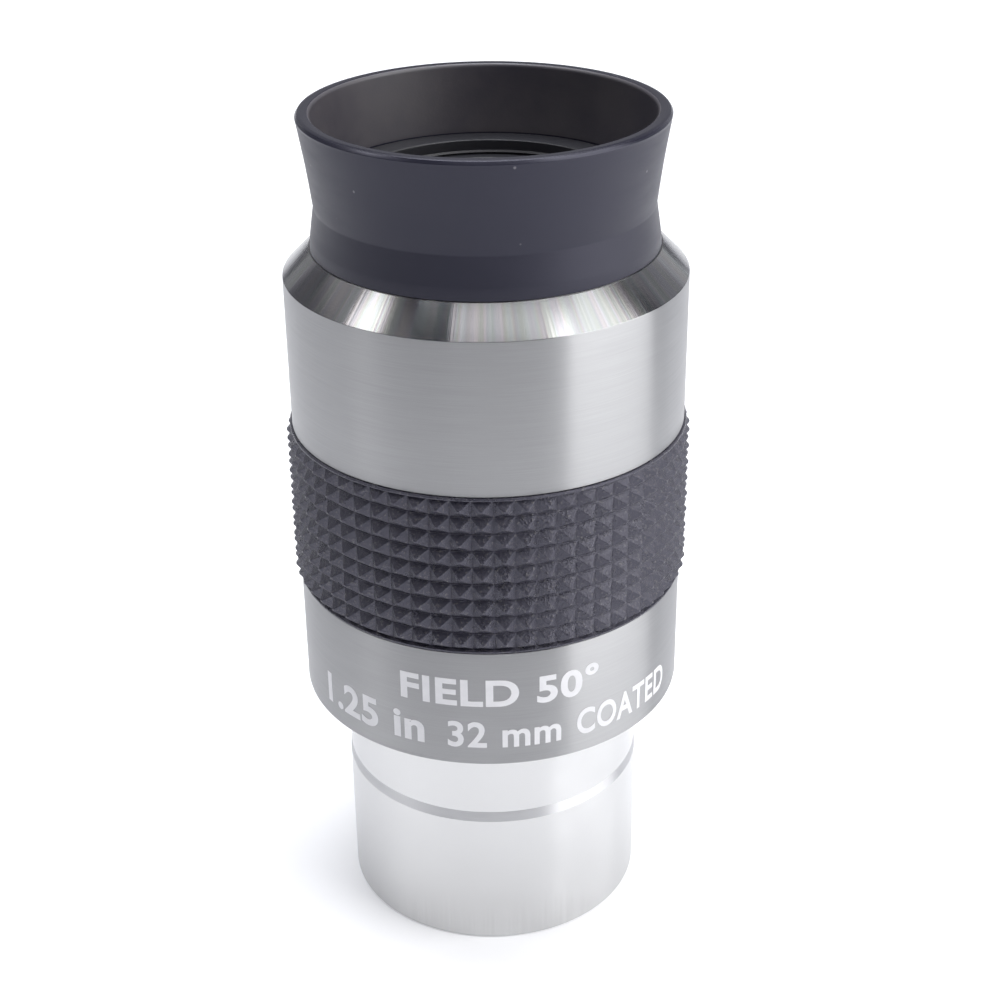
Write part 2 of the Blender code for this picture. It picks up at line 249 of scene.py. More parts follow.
# %% [markdown]
# ## Fine turning
#
# The bevel at the top of the housing is left as the tool cut it. The cut is bright,
# and it shows chatter: the tool springs in and out, and leaves faint waves that lie
# across its path. They break up reflections into streaks. The tool's fine grooves
# would spread a hint of rainbow, as a compact disc does; here that rainbow is a
# painted sheen in the colour.

# %% Fine turned steel for the bevel
def turned_steel(name, colour, roughness, chatter_height, painted_rainbow_strength):
    finish, tree, shader = new_finish(name)
    chatter = noise(tree, lathe_coordinates(tree, 26.0, 120.0), 1.0, 3.0, 0.65)
    # Painted rainbow sheen: this noise picks a hue that is multiplied into the colour.
    painted_rainbow = noise(tree, lathe_coordinates(tree, 11.0, 40.0), 1.0, 1.0)
    round_the_wheel = calculate(tree, "FRACT", calculate(tree, "MULTIPLY", painted_rainbow, 5.0))
    painted_rainbow_hue = wire(tree, "ShaderNodeCombineColor",
               {0: round_the_wheel, 1: painted_rainbow_strength, 2: 1.0}, mode="HSV")
    plain = tint(tree, spread(tree, chatter, 0.0, 1.0, 0.25, 0.75),
                 [0.82 * c for c in colour], [1.18 * c for c in colour])
    colour_with_painted_rainbow = wire(tree, "ShaderNodeVectorMath", {0: plain, 1: painted_rainbow_hue.outputs[0]},
                    operation="MULTIPLY")
    grooves = noise(tree, lathe_coordinates(tree, 2.0, 1 / (0.07 * mm)), 1.0, 2.0)
    grain = noise(tree, object_place(tree), 3500.0, 2.0)
    grained = calculate(tree, "ADD", chatter, calculate(tree, "MULTIPLY", grain, 0.12))
    fill(tree, shader, {
        "Base Color": colour_with_painted_rainbow.outputs[0],
        "Roughness": spread(tree, grooves, roughness - 0.03, roughness + 0.03),
        "Normal": bump(tree, grained, 1.0, chatter_height),
        "Tangent": outline_tangent(tree), "Metallic": 1.0, "Anisotropic": 1.0})
    return finish


# The last value, 0.04, is the strength of the painted rainbow sheen.
bevel_steel = turned_steel("bevel_turned_steel", (0.275, 0.275, 0.275), 0.17, 0.014 * mm, 0.04)
print("made", bevel_steel.name)

# %% [markdown]
# ## Chrome
#
# The barrel is plated and polished. Real plate is never a perfect mirror: the turning
# under it and the handling over it blur it a little, so roughness varies in soft
# patches and a faint bump follows the lathe. Painted streaks of reflection fade into
# the colour near the open end.

# %% Polished chrome for the barrel
def polished_chrome(name, dark, light, roughness):
    finish, tree, shader = new_finish(name)
    place = object_place(tree)
    haze = noise(tree, place, 140.0, 4.0, 0.55)
    even = spread(tree, haze, 0.0, 1.0, 0.3, 0.7)
    chatter = noise(tree, lathe_coordinates(tree, 14.0, 90.0), 1.0, 2.0)
    # Painted streaks of reflection, fading into the colour near the open end.
    painted_reflection_streaks = noise(tree, lathe_coordinates(tree, 70.0, 40.0), 1.0, 2.0, 0.6)
    near_end = spread(tree, separate(tree, place)["Z"], 1.0, 0.0, 1.0 * mm, 6.0 * mm)
    painted_streak_shift = calculate(tree, "MULTIPLY", near_end, spread(tree, painted_reflection_streaks, -0.5, 0.5, 0.3, 0.7))
    fill(tree, shader, {
        "Base Color": tint(tree, calculate(tree, "ADD", even, painted_streak_shift), dark, light),
        "Roughness": spread(tree, even, roughness - 0.02, roughness + 0.03),
        "Normal": bump(tree, chatter, 1.0, 0.006 * mm),
        "Tangent": outline_tangent(tree), "Metallic": 1.0, "Anisotropic": 1.0})
    return finish


barrel_chrome = polished_chrome("barrel_polished_chrome", (0.59, 0.59, 0.59),
                                (0.64, 0.64, 0.64), 0.215)
print("made", barrel_chrome.name)

# %% [markdown]
# ## Black anodising
#
# Everything that light might glance off inside is dyed black. Anodising keeps the
# turning marks of the aluminium beneath it, so the finish is a dark satin with rings.

# %% Black anodising for the cell and the rings
def black_anodising(name, roughness):
    finish, tree, shader = new_finish(name)
    lines = noise(tree, lathe_coordinates(tree, 1.2, 1 / (0.12 * mm)), 1.0, 3.0)
    fill(tree, shader, {
        "Base Color": tint(tree, lines, (0.010, 0.010, 0.013), (0.022, 0.022, 0.027)),
        "Roughness": spread(tree, lines, roughness - 0.06, roughness + 0.08),
        "Normal": bump(tree, lines, 0.3, 0.01 * mm)})
    return finish


cell_black = black_anodising("cell_black_anodising", 0.42)
print("made", cell_black.name)

# %% [markdown]
# ## Moulded rubber for the grip
#
# The grip is a black compound with a slight purple cast. It comes from a textured
# mould, and its facets are gritty and hold pale dust. The grit is too fine to model,
# so it is a bump, and the same noise picks out pale specks: partly dust, partly
# painted glints off the grit.

# %% Rubber for the grip
def grip_compound(name):
    finish, tree, shader = new_finish(name)
    place = object_place(tree)
    mottle = noise(tree, place, 260.0, 5.0, 0.6)
    dust = noise(tree, place, 3600.0, 3.0, 0.7)
    rubber = tint(tree, spread(tree, mottle, 0.0, 1.0, 0.3, 0.7), (0.008, 0.0075, 0.015),
                  (0.015, 0.014, 0.024))
    # Pale specks, partly dust and partly painted glints off the grit.
    dust_and_glint_specks = spread(tree, dust, 0.0, 1.0, 0.56, 0.70)
    fill(tree, shader, {
        "Base Color": tint(tree, calculate(tree, "MULTIPLY", dust_and_glint_specks, 0.50), rubber,
                           (0.20, 0.19, 0.17)),
        "Roughness": spread(tree, mottle, 0.22, 0.35),
        "Normal": bump(tree, dust, 1.0, 0.12 * mm),
        "Specular IOR Level": 0.88, "Specular Tint": (0.86, 0.85, 1.0, 1.0)})
    return finish


grip_rubber = grip_compound("grip_moulded_rubber")
print("made", grip_rubber.name)

# %% [markdown]
# ## Moulded rubber for the eyecup
#
# The eyecup is the same compound from a smooth mould, with faint flow marks and a few
# specks of dust. Fingers rub its rim, which shines a little more. The inner wall has a
# finish of its own, matte and paler: the paler colour is painted light, standing in
# for the light inside the cup.

# %% Rubber for the outside of the eyecup
def eyecup_compound(name):
    finish, tree, shader = new_finish(name)
    place = object_place(tree)
    flow = noise(tree, lathe_coordinates(tree, 1.4, 1 / (2.5 * mm)), 1.0, 4.0, 0.6)
    grain = noise(tree, place, 3000.0, 2.0, 0.5)
    dust = wire(tree, "ShaderNodeTexVoronoi", {"Vector": place, "Scale": 400.0}).outputs[0]
    rubber = tint(tree, flow, (0.0045, 0.0045, 0.0110), (0.0140, 0.0137, 0.0240))
    rubbed = spread(tree, separate(tree, place)["Z"], 0.0, -0.24, rim_top - 0.7 * mm,
                    rim_top - 0.1 * mm)
    satin = spread(tree, flow, 0.43, 0.53, 0.3, 0.7)
    fill(tree, shader, {
        "Base Color": tint(tree, spread(tree, dust, 0.6, 0.0, 0.03, 0.07), rubber,
                           (0.22, 0.21, 0.22)),
        "Roughness": calculate(tree, "ADD", satin, rubbed),
        "Normal": bump(tree, grain, 0.25, 0.01 * mm),
        "Specular IOR Level": 0.53, "Specular Tint": (0.84, 0.84, 1.0, 1.0)})
    return finish


eyecup_rubber = eyecup_compound("eyecup_moulded_rubber")
print("made", eyecup_rubber.name)


# %% Rubber for the inside of the eyecup, paler as painted light
def inside_compound_painted_light(name):
    finish, tree, shader = new_finish(name)
    place = object_place(tree)
    drift = noise(tree, place, 120.0, 5.0, 0.65)
    grain = noise(tree, place, 4000.0, 2.0, 0.5)
    fill(tree, shader, {
        # The paler colour of the inner wall is painted light for the inside of the cup.
        "Base Color": tint(tree, spread(tree, drift, 0.0, 1.0, 0.3, 0.7),
                           (0.036, 0.033, 0.045), (0.060, 0.053, 0.060)),
        "Roughness": spread(tree, drift, 0.42, 0.56, 0.3, 0.7),
        "Normal": bump(tree, grain, 0.4, 0.02 * mm),
        "Specular IOR Level": 0.9})
    return finish


inside_rubber_painted_light = inside_compound_painted_light("eyecup_inside_painted_light")
print("made", inside_rubber_painted_light.name)

# %% [markdown]
# ## Coated glass and marking ink
#
# A lens reflects a little light from each face. Its coating is about a quarter of a
# wavelength thick, and it tints what little reflection is left. The Thin Film settings
# give the tint from the layer's thickness in nanometres. The markings on the housing
# are a pale ink, slightly worn.

# %% Glass and ink
def coated_glass(name, film_thickness):
    finish, tree, shader = new_finish(name)
    haze = noise(tree, object_place(tree), 220.0, 3.0, 0.5)
    fill(tree, shader, {
        "Base Color": tint(tree, haze, (0.95, 0.98, 1.0), (0.98, 1.0, 1.0)),
        "Roughness": spread(tree, haze, 0.0, 0.03, 0.4, 0.8),
        "Transmission Weight": 1.0, "IOR": 1.52,
        "Thin Film Thickness": film_thickness, "Thin Film IOR": 1.38})
    return finish


def marking_ink(name):
    finish, tree, shader = new_finish(name)
    wear = noise(tree, object_place(tree), 900.0, 4.0, 0.6)
    fill(tree, shader, {
        "Base Color": tint(tree, wear, (0.62, 0.62, 0.64), (0.76, 0.76, 0.77)),
        "Roughness": spread(tree, wear, 0.45, 0.65)})
    return finish


lens_glass = coated_glass("lens_coated_glass", 105.0)
ink = marking_ink("marking_pale_ink")
print("made", lens_glass.name, ink.name)

# %% [markdown]
# ## From live modifiers to plain meshes
#
# A modifier computes its shape anew each time. A finished piece is safer as a plain
# mesh, so these helpers ask Blender for the evaluated result and keep only that.

# %% Helpers for meshes
def add_object(name, data):
    thing = bpy.data.objects.new(name, data)
    bpy.context.collection.objects.link(thing)
    return thing


def plain_mesh(source):
    """A mesh of what an object's modifiers, or its type, make."""
    view = bpy.context.evaluated_depsgraph_get()
    return bpy.data.meshes.new_from_object(source.evaluated_get(view), depsgraph=view)


def keep_result(piece):
    """Swap a piece's mesh and modifiers for the mesh they make."""
    mesh = plain_mesh(piece)
    piece.modifiers.clear()
    piece.data = mesh


def face_out(piece, sharp_angle):
    """Point every face outwards, then shade smooth with crisp edges."""
    shape = bmesh.new()
    shape.from_mesh(piece.data)
    bmesh.ops.recalc_face_normals(shape, faces=shape.faces)
    shape.to_mesh(piece.data)
    shape.free()
    piece.data.shade_smooth()
    piece.data.set_sharp_from_angle(angle=radians(sharp_angle))


# %% [markdown]
# ## Running a Geometry Nodes tree
#
# A tree is built once, with named inputs, and run on a blank for each piece. The
# result is kept as a plain mesh with one finish, and the blank is thrown away.

# %% Helpers for Geometry Nodes trees
def new_tree(name, inputs):
    """An empty tree with a Geometry input and output and named inputs."""
    tree = bpy.data.node_groups.new(name, "GeometryNodeTree")
    tree.interface.new_socket("Geometry", in_out="INPUT", socket_type="NodeSocketGeometry")
    for label, kind in inputs:
        tree.interface.new_socket(label, in_out="INPUT", socket_type="NodeSocket" + kind)
    tree.interface.new_socket("Geometry", in_out="OUTPUT", socket_type="NodeSocketGeometry")
    return tree, tree.nodes.new("NodeGroupInput").outputs


def finish_tree(tree, geometry, material_socket):
    """Realize Instances and Set Material, then the tree's output."""
    real = wire(tree, "GeometryNodeRealizeInstances", {"Geometry": geometry})
    coated = wire(tree, "GeometryNodeSetMaterial",
                  {"Geometry": real.outputs[0], "Material": material_socket})
    wire(tree, "NodeGroupOutput", {"Geometry": coated.outputs[0]})
    print(tree.name, "tree with", len(tree.nodes), "nodes")


def run_tree(tree, blank_mesh, name, values):
    """Run a tree on a blank and keep the result as a plain mesh object."""
    blank = add_object("blank", blank_mesh)
    modifier = blank.modifiers.new(tree.name, "NODES")
    modifier.node_group = tree
    for item in tree.interface.items_tree:
        if item.in_out == "INPUT" and item.name in values:
            modifier[item.identifier] = values[item.name]
    mesh = plain_mesh(blank)
    bpy.data.objects.remove(blank)
    mesh.name = name
    mesh.materials.clear()
    mesh.materials.append(values["Finish"])
    mesh.polygons.foreach_set("material_index", [0] * len(mesh.polygons))
    return add_object(name, mesh)


# %% [markdown]
# ## The lathe, as a Geometry Nodes tree
#
# The Screw modifier could spin an outline too. A node tree shows what a lathe does:
# lay out a grid with one row for each outline point and one column for each step
# round, look up each row's radius and height, and move every grid point there. The
# last row and column fall on the first, and Merge by Distance closes the seam.

# %% Build the lathe tree
def build_lathe():
    tree, given = new_tree("lathe", [("Steps", "Int"), ("Finish", "Material")])
    count = wire(tree, "GeometryNodeAttributeDomainSize", {"Geometry": given["Geometry"]})
    rows = calculate(tree, "ADD", count.outputs["Point Count"], 1.0)
    columns = calculate(tree, "ADD", given["Steps"], 1.0)
    grid = wire(tree, "GeometryNodeMeshGrid", {"Vertices X": rows, "Vertices Y": columns})
    index = wire(tree, "GeometryNodeInputIndex").outputs[0]
    row = calculate(tree, "FLOOR", calculate(tree, "DIVIDE", index, columns))
    point = calculate(tree, "MODULO", row, count.outputs["Point Count"])
    step = calculate(tree, "MODULO", calculate(tree, "MODULO", index, columns), given["Steps"])
    turn = calculate(tree, "MULTIPLY", calculate(tree, "DIVIDE", step, given["Steps"]), 2 * pi)
    outline_place = wire(tree, "GeometryNodeInputPosition").outputs[0]
    sample = wire(tree, "GeometryNodeSampleIndex",
                  {"Geometry": given["Geometry"], "Value": outline_place, "Index": point},
                  data_type="FLOAT_VECTOR")
    axes = separate(tree, sample.outputs["Value"])
    x = calculate(tree, "MULTIPLY", axes["X"], calculate(tree, "COSINE", turn))
    y = calculate(tree, "MULTIPLY", axes["X"], calculate(tree, "SINE", turn))
    moved = wire(tree, "GeometryNodeSetPosition",
                 {"Geometry": grid.outputs["Mesh"], "Position": combine(tree, x, y, axes["Z"])})
    closed = wire(tree, "GeometryNodeMergeByDistance",
                  {"Geometry": moved.outputs[0], "Distance": 1e-7})
    finish_tree(tree, closed.outputs[0], given["Finish"])
    return tree


lathe = build_lathe()

# %% [markdown]
# ## Outlines with soft corners
#
# No turned edge is perfectly sharp, and the thin bright line along an edge is what
# makes metal look like metal. So an outline is drawn with plain corners, each with
# the radius of its edge, and `filleted` swaps the corner for a short arc.

# %% Round the corners of an outline
def filleted(corners, steps=4):
    """corners are (radius, height, edge radius), in order round a closed outline."""
    outline = []
    for number, (radius, height, edge) in enumerate(corners):
        here = Vector((radius, height))
        if not edge:
            outline.append(here)
            continue
        back = (Vector(corners[number - 1][:2]) - here).normalized()
        ahead = (Vector(corners[(number + 1) % len(corners)][:2]) - here).normalized()
        half = back.angle(ahead) / 2
        centre = here + (back + ahead).normalized() * (edge / sin(half))
        start = here + back * (edge / tan(half)) - centre
        end = here + ahead * (edge / tan(half)) - centre
        sweep = atan2(start.x * end.y - start.y * end.x, start.dot(end))
        for step in range(steps + 1):
            angle = sweep * step / steps
            arm = Vector((start.x * cos(angle) - start.y * sin(angle),
                          start.x * sin(angle) + start.y * cos(angle)))
            outline.append(centre + arm)
    return outline


# %% [markdown]
# A turned piece then takes these steps: spin its outline, coat a zone of it if it
# has a second finish, ride on the empty of its body, and hide the nodes of the
# model that it stands for.

# %% Turn an outline, coat it and settle it
def turned(name, outline, finish, steps=240, sharp_angle=30):
    """Spin an outline of (radius, height) points with the lathe tree."""
    mesh = bpy.data.meshes.new(name + "_outline")
    mesh.from_pydata([(point[0], 0, point[1]) for point in outline], [], [])
    piece = run_tree(lathe, mesh, name, {"Steps": steps, "Finish": finish})
    face_out(piece, sharp_angle)
    print(name, len(piece.data.polygons), "faces")
    return piece


def coat_zone(piece, finish, low, high, least_radius):
    """Give a second finish to the faces between two heights, outside a radius."""
    piece.data.materials.append(finish)
    for face in piece.data.polygons:
        middle = face.center
        if low < middle.z < high and middle.xy.length > least_radius:
            face.material_index = len(piece.data.materials) - 1


def settle(piece, body, slot, *nodes):
    """Ride on a body and stand for nodes of the model. The slot is not used."""
    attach(piece, body)
    if nodes:
        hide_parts(*nodes)


# %% [markdown]
# ## The barrel
#
# The barrel slides into the telescope. A shallow groove near its middle lets the
# thumbscrew catch it if it works loose. The short taper into that groove is brushed,
# not polished, so it has a finish of its own. The open end is threaded for filters.

# %% Turn the barrel
barrel_wall = 1.625 * mm
undercut_depth = 0.12 * mm
undercut_taper = 1.2 * mm
spigot_step = 0.6 * mm
fine_steps = 300

bore_radius = barrel_radius - barrel_wall
undercut_radius = barrel_radius - undercut_depth
undercut_start = barrel_z + 15.5 * mm
spigot_z = shoulder_z + 1.0 * mm
barrel_outline = filleted([
    (bore_radius, barrel_z, 0.25 * mm),
    (barrel_radius, barrel_z, 0.3 * mm),
    (barrel_radius, undercut_start, 0.02 * mm),
    (undercut_radius, undercut_start + undercut_taper, 0.02 * mm),
    (undercut_radius, spigot_z, 0),
    (undercut_radius - spigot_step, spigot_z, 0),
    (undercut_radius - spigot_step, barrel_top, 0.1 * mm),
    (bore_radius, barrel_top, 0.1 * mm),
])
barrel = turned("barrel", barrel_outline, barrel_chrome, fine_steps)
coat_zone(barrel, step_steel, undercut_start, undercut_start + undercut_taper, bore_radius)
settle(barrel, "optics", "polished_chrome", "nosepiece_barrel")

# %% [markdown]
# ## The two housing shells
#
# The lower shell screws on to the barrel and into the upper shell, and the thread
# between them is hidden by the rubber grip. The upper shell ends in a bevel that is
# turned, not brushed, so it gets a finer finish of its own.

# %% Turn the lower shell
seat_depth = 1.4 * mm
shell_thread_wall = 1.2 * mm
spigot_wall = 1.6 * mm
recess_depth = 1.1 * mm

seat_radius = housing_radius - seat_depth
spigot_radius = seat_radius - shell_thread_wall - fit_gap
light_bore = spigot_radius - spigot_wall
lower_outline = filleted([
    (undercut_radius + hairline, shoulder_z, 0.1 * mm),
    (housing_radius, shoulder_z, 0.3 * mm),
    (housing_radius, grip_z - hairline, 0.08 * mm),
    (seat_radius, grip_z - hairline, 0),
    (seat_radius, joint_z - hairline, 0),
    (spigot_radius, joint_z - hairline, 0),
    (spigot_radius, lower_top, 0.2 * mm),
    (light_bore, lower_top, 0.2 * mm),
    (light_bore, shoulder_z + recess_depth, 0),
    (undercut_radius + hairline, shoulder_z + recess_depth, 0),
])
lower_shell = turned("lower_shell", lower_outline, housing_steel, fine_steps)
settle(lower_shell, "optics", "brushed_steel", "lower_housing")

# %% Turn the upper shell
bevel_height = 2.7 * mm
bevel_z = housing_top - bevel_height
upper_outline = filleted([
    (spigot_radius + hairline, joint_z, 0),
    (seat_radius, joint_z, 0),
    (seat_radius, grip_top + hairline, 0),
    (housing_radius, grip_top + hairline, 0.08 * mm),
    (housing_radius, bevel_z, 0.12 * mm),
    (collar_radius, housing_top, 0.05 * mm),
    (light_bore, housing_top, 0),
    (light_bore, lower_top + hairline, 0),
    (spigot_radius + hairline, lower_top + hairline, 0),
])
upper_shell = turned("upper_shell", upper_outline, housing_steel, fine_steps)
coat_zone(upper_shell, bevel_steel, bevel_z, housing_top, collar_radius - 0.1 * mm)
settle(upper_shell, "optics", "brushed_steel", "upper_housing")

# %% [markdown]
# ## The grip
#
# The grip is a stretched rubber band covered in small pyramids, nine rows of sixty.
# Its blank is turned with one flat square for each pyramid and a fine rib between the
# rows. A second tree then draws every square out of the blank and shrinks its top to a
# blunt point, which is just how the mould's cutter made the pattern. A little random
# height keeps it natural.

# %% Build the pyramid tree
def build_pyramids():
    tree, given = new_tree("pyramids", [
        ("Valley Radius", "Float"), ("Height", "Float"), ("Tip", "Float"),
        ("Least Area", "Float"), ("Unevenness", "Float"), ("Seed", "Int"),
        ("Finish", "Material")])
    nearness = 0.08 * mm
    axes = separate(tree, wire(tree, "GeometryNodeInputPosition").outputs[0])
    off = calculate(tree, "SUBTRACT", axis_distance(tree, axes), given["Valley Radius"])
    in_valley = calculate(tree, "LESS_THAN", calculate(tree, "ABSOLUTE", off), nearness)
    area = wire(tree, "GeometryNodeInputMeshFaceArea").outputs[0]
    is_square = calculate(tree, "GREATER_THAN", area, given["Least Area"])
    on_grip = calculate(tree, "MULTIPLY", in_valley, is_square)
    least = calculate(tree, "SUBTRACT", 1.0, given["Unevenness"])
    uneven = wire(tree, "FunctionNodeRandomValue", {2: least, 3: 1.0, "Seed": given["Seed"]},
                  data_type="FLOAT")
    height = calculate(tree, "MULTIPLY", given["Height"], uneven.outputs[1])
    drawn = wire(tree, "GeometryNodeExtrudeMesh",
                 {"Mesh": given["Geometry"], "Selection": on_grip, "Offset Scale": height,
                  "Individual": True}, mode="FACES")
    tip = wire(tree, "GeometryNodeScaleElements",
               {"Geometry": drawn.outputs["Mesh"], "Selection": drawn.outputs["Top"],
                "Scale": given["Tip"]})
    finish_tree(tree, tip.outputs[0], given["Finish"])
    return tree


pyramids = build_pyramids()

# %% Turn the blank
grip_rows = 9
grip_columns = 60
grip_lip = 0.33 * mm
grip_turn = radians(0.9)
grip_bore = seat_radius + hairline
valley_radius = seat_radius + 1.15 * mm
lip_radius = valley_radius + 0.5 * mm
row_start = grip_z + grip_lip
row_height = (grip_top - grip_z - 2 * grip_lip) / grip_rows
half_land = 0.08 * mm
rib_height = 0.10 * mm

blank_outline = [(grip_bore, grip_z), (lip_radius - 0.25 * mm, grip_z),
                 (lip_radius - 0.1 * mm, grip_z + 0.12 * mm),
                 (lip_radius - 0.1 * mm, row_start - 0.05 * mm)]
for row in range(grip_rows):
    row_z = row_start + row * row_height
    if row:
        blank_outline.append((valley_radius + rib_height, row_z))
    blank_outline.append((valley_radius, row_z + half_land))
    blank_outline.append((valley_radius, row_z + row_height - half_land))
blank_outline += [(lip_radius, grip_top - grip_lip + 0.05 * mm),
                  (lip_radius, grip_top - 0.12 * mm),
                  (lip_radius - 0.15 * mm, grip_top), (grip_bore, grip_top)]
blank = turned("grip_blank", blank_outline, grip_rubber, grip_columns)
blank.data.transform(Matrix.Rotation(grip_turn, 4, "Z"))

# %% Raise the pyramids
pyramid_height = 0.9 * mm
face_radius = valley_radius * cos(pi / grip_columns)
grip = run_tree(pyramids, blank.data, "grip", {
    "Valley Radius": face_radius, "Height": pyramid_height, "Tip": 0.12,
    "Least Area": row_height * row_height / 2, "Unevenness": 0.05, "Seed": 4,
    "Finish": grip_rubber})
bpy.data.objects.remove(blank)
print("grip", len(grip.data.polygons), "faces")


# %% [markdown]
# A cutter leaves crisp arrises but rubber never fills them quite. A narrow Bevel
# gives every ridge and tip the small radius that catches the light.

# %% Soften the ridges
def soften(piece, width, segments, angle):
    """Bevel every edge sharper than angle, and keep the result as a plain mesh."""
    bevel = piece.modifiers.new("soften", "BEVEL")
    bevel.width = width
    bevel.segments = segments
    bevel.limit_method = "ANGLE"
    bevel.angle_limit = radians(angle)
    keep_result(piece)


soften(grip, 0.035 * mm, 2, 15)
face_out(grip, 50)
print("softened grip", len(grip.data.polygons), "faces")
settle(grip, "optics", "grip_rubber", "grip_band")

# %% [markdown]
# ## The lens cell
#
# The cell is a black tube that holds all the glass. Its top is the flat ring that is
# seen inside the eyecup. Below the ring its bore is threaded.

# %% Turn the lens cell
cell_radius = light_bore - hairline
cell_bore = lens_radius + hairline
mouth_radius = cell_bore + 0.25 * mm
neck_groove = cell_radius - 0.85 * mm
flange_radius = shoulder_radius - 0.6 * mm
flange_z = cell_top - 1.8 * mm
shoulder_top = housing_top + 1.4 * mm
cell_outline = filleted([
    (cell_bore, cell_low, 0.1 * mm),
    (cell_radius, cell_low, 0.2 * mm),
    (cell_radius, housing_top, 0),
    (shoulder_radius, housing_top + hairline, 0),
    (shoulder_radius, shoulder_top, 0),
    (neck_groove, shoulder_top, 0),
    (neck_groove, flange_z, 0),
    (flange_radius, flange_z, 0.1 * mm),
    (flange_radius, cell_top, 0.15 * mm),
    (mouth_radius, cell_top, 0.12 * mm),
    (mouth_radius, cell_top - 2.2 * mm, 0),
    (cell_bore, cell_top - 2.3 * mm, 0),
])
cell = turned("cell", cell_outline, cell_black)
settle(cell, "optics", "black_anodised", "lens_cell")

# %% [markdown]
# ## Threads
#
# A screw thread is a ridge that follows a helix, so it is a tree as well: a spiral
# curve, and a small diamond swept along it. Half of the diamond sinks into the wall,
# and the half that is left is the ridge. The same tree cuts the filter thread in the
# barrel and the ring's thread in the cell.

# %% Build the thread tree
def build_thread():
    tree, given = new_tree("thread", [
        ("Radius", "Float"), ("Pitch", "Float"), ("Length", "Float"), ("Start", "Float"),
        ("Depth", "Float"), ("Steps", "Int"), ("Finish", "Material")])
    turns = calculate(tree, "DIVIDE", given["Length"], given["Pitch"])
    helix = wire(tree, "GeometryNodeCurveSpiral",
                 {"Resolution": given["Steps"], "Rotations": turns,
                  "Start Radius": given["Radius"], "End Radius": given["Radius"],
                  "Height": given["Length"]})
    ridge = wire(tree, "GeometryNodeCurvePrimitiveCircle",
                 {"Resolution": 4, "Radius": given["Depth"]})
    swept = wire(tree, "GeometryNodeCurveToMesh",
                 {"Curve": helix.outputs[0], "Profile Curve": ridge.outputs[0],
                  "Fill Caps": True})
    lift = combine(tree, 0.0, 0.0, given["Start"])
    placed = wire(tree, "GeometryNodeTransform",
                  {"Geometry": swept.outputs[0], "Translation": lift})
    finish_tree(tree, placed.outputs[0], given["Finish"])
    return tree


thread = build_thread()


# %% Cut the threads
def cut_thread(name, radius, pitch, start, length, depth, finish, slot):
    piece = run_tree(thread, bpy.data.meshes.new(name + "_blank"), name, {
        "Radius": radius, "Pitch": pitch, "Start": start, "Length": length,
        "Depth": depth, "Steps": 72, "Finish": finish})
    face_out(piece, 30)
    settle(piece, "optics", slot)
    print(name, round(length / pitch, 1), "turns,", len(piece.data.polygons), "faces")


cut_thread("filter_thread", bore_radius, 0.6 * mm, barrel_z + 0.9 * mm, 5.4 * mm, 0.27 * mm,
           barrel_chrome, "polished_chrome")
cut_thread("cell_thread", mouth_radius, 0.5 * mm, cell_top - 2.1 * mm, 1.3 * mm, 0.18 * mm,
           cell_black, "black_anodised")

# %% [markdown]
# ## Rings
#
# Two threaded rings clamp the glass from either end, a plain ring keeps the doublets
# apart, and a thin ring at the focus gives the view its sharp edge. The threaded
# rings have two slots for a spanner, which a cutter bar takes out in one pass.

# %% Cut spanner slots
def cut_slots(piece, slot_z):
    """Cut two spanner slots across one face of a ring."""
    shape = bmesh.new()
    bmesh.ops.create_cube(shape, size=1)
    bmesh.ops.scale(shape, vec=(40 * mm, 1.4 * mm, 1.6 * mm), verts=shape.verts)
    bmesh.ops.translate(shape, vec=(0, 0, slot_z), verts=shape.verts)
    bar_mesh = bpy.data.meshes.new("slot_bar")
    shape.to_mesh(bar_mesh)
    shape.free()
    bar = add_object("slot_bar", bar_mesh)
    cut = piece.modifiers.new("slots", "BOOLEAN")
    cut.operation = "DIFFERENCE"
    cut.object = bar
    keep_result(piece)
    bpy.data.objects.remove(bar)
    face_out(piece, 30)


# %% Turn the rings
def ring(name, node, width, edge, slot_z=None):
    """A ring of the given width in a node's place, with spanner slots at slot_z."""
    radius, low, high = node_size(node)
    outer = radius + 0.2 * mm
    outline = filleted([(radius - width, low, edge), (outer, low, edge),
                        (outer, high, edge), (radius - width, high, edge)])
    piece = turned(name, outline, cell_black, 180)
    if slot_z is not None:
        cut_slots(piece, slot_z)
    settle(piece, "optics", "black_anodised", node)


ring("eye_ring", "eye_retaining_ring", 1.1 * mm, 0.12 * mm,
     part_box("eye_retaining_ring")[1].z)
ring("field_ring", "field_retaining_ring", 1.1 * mm, 0.12 * mm,
     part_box("field_retaining_ring")[0].z)
ring("lens_spacer", "spacer_ring", 0.8 * mm, 0.05 * mm)
ring("field_stop", "field_stop_ring", 0.45 * mm, 0.08 * mm)

# %% [markdown]
# ## The glass
#
# Each lens is turned from two arcs. The working model gives its centre and edge
# heights, and the radius of each face is the one an optician would grind.

# %% Draw a lens face
def fall(curve, radius):
    """How far a spherical face falls away from its centre at this radius."""
    return curve - sqrt(curve * curve - radius * radius)


def face_arc(curve, centre_z, direction, steps=24):
    """A lens face from the axis to the edge; direction is 1 if the edge lies lower."""
    arc = []
    for step in range(steps + 1):
        radius = lens_radius * step / steps
        arc.append((radius, centre_z - direction * fall(curve, radius)))
    return arc


# %% Turn the lenses
outer_curve = 90 * mm
cement_curve = 26 * mm
inner_curve = 34 * mm


